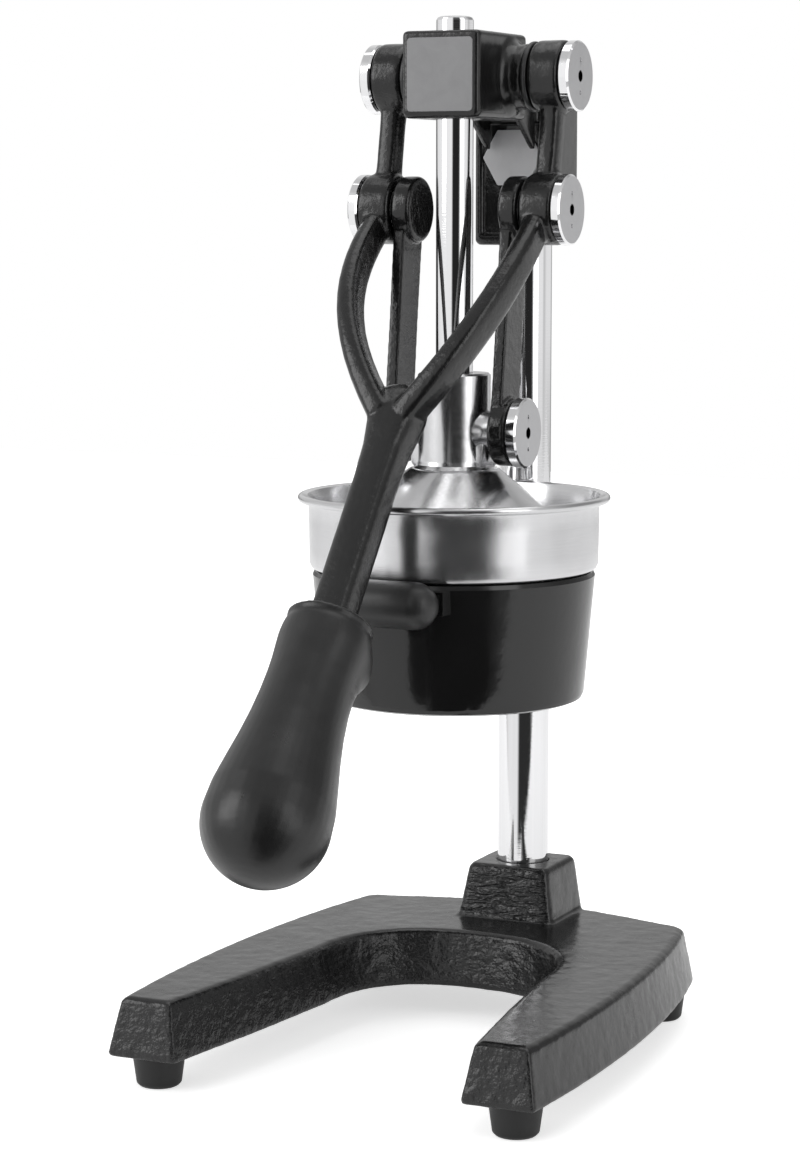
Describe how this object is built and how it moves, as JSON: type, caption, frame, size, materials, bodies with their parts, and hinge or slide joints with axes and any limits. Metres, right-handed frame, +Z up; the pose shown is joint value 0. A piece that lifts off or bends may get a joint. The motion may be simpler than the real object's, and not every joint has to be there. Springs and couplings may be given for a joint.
{
  "type": "lever citrus juice press",
  "caption": "Countertop lever citrus press: horseshoe base, column, fixed head, toggle handle, faceted press bell, strainer cup and funnel bowl.",
  "frame": {"origin": "on the counter, under the middle of the overall box with the handle down", "axes": "+Z up; the operator stands in front at -Y, where the handle's grip is; +X is the machine's right as seen from behind it, the right-hand side in a front view"},
  "size_m": [0.187, 0.2868, 0.4175],
  "materials": {
    "enamel_base": "gloss black enamel over rough cast iron",
    "enamel_head": "gloss black enamel over cast iron",
    "enamel_handle": "semi-gloss black enamel over cast iron",
    "enamel_link": "gloss black enamel over cast iron",
    "enamel_bowl": "smooth gloss black enamel",
    "rubber_foot": "matte black",
    "grip_rubber": "satin black",
    "bumper_plastic": "gloss black",
    "grey_pad": "smooth dark grey",
    "chrome_bar": "polished hard chrome on ground bar",
    "chrome_cast": "chrome plate, polished facets",
    "cap_chrome": "polished rim, satin turned face",
    "brushed_stainless": "spun and brushed",
    "zinc_steel": "zinc plated",
    "black_steel": "black oxide",
    "bronze": "sintered bronze, plain"
  },
  "bodies": {
    "frame": {"base_casting": "enamel_base", "foot_front_left": "rubber_foot", "foot_front_right": "rubber_foot", "foot_rear_left": "rubber_foot", "foot_rear_right": "rubber_foot", "foot_screws": "zinc_steel", "column": "chrome_bar", "column_bolt": "zinc_steel", "column_washer": "zinc_steel", "socket_screw": "black_steel", "funnel_bowl": "enamel_bowl", "bowl_clamp_screw": "zinc_steel", "strainer_cup": "brushed_stainless", "reamer_cone": "brushed_stainless", "stop_bumper": "bumper_plastic", "bumper_stud": "black_steel", "head_casting": "enamel_head", "head_badge": "grey_pad", "head_set_screws": "black_steel", "rod_bush_upper": "bronze", "rod_bush_lower": "bronze", "fulcrum_shaft": "chrome_bar", "fulcrum_washers": "black_steel", "fulcrum_cap_left": "cap_chrome", "fulcrum_cap_right": "cap_chrome"},
    "handle": {"handle_casting": "enamel_handle", "fulcrum_bushes": "bronze", "handle_grip": "grip_rubber", "grip_stud": "black_steel", "knuckle_screw_left": "cap_chrome", "knuckle_screw_right": "cap_chrome", "knuckle_washers": "cap_chrome"},
    "links": {"link_left": "enamel_link", "link_right": "enamel_link", "link_bush_left": "bronze", "link_bush_right": "bronze"},
    "press": {"press_rod": "chrome_bar", "press_carriage": "chrome_cast", "carriage_set_screw": "black_steel", "press_bell": "chrome_cast", "bell_nut": "zinc_steel", "carriage_screw_left": "cap_chrome", "carriage_screw_right": "cap_chrome"}
  },
  "joints": [
    {"name": "handle_pivot", "type": "hinge", "parent": "frame", "child": "handle", "pos_m": [0, 0.06783, 0.394], "axis": [-1, 0, 0], "range_deg": [0, 100]},
    {"name": "press_slide", "type": "slide", "parent": "frame", "child": "press", "axis": [0, 0, 1], "range_m": [0, 0.0766]},
    {"name": "link_pivot", "type": "hinge", "parent": "press", "child": "links", "pos_m": [0, 0.04753, 0.252], "axis": [1, 0, 0], "range_deg": [0, 26.5]}
  ],
  "couplings": [
    {"joint": "press_slide", "follows": "handle_pivot", "m_per_rad": 0.043818},
    {"joint": "link_pivot", "follows": "handle_pivot", "ratio": 0.26417}
  ]
}
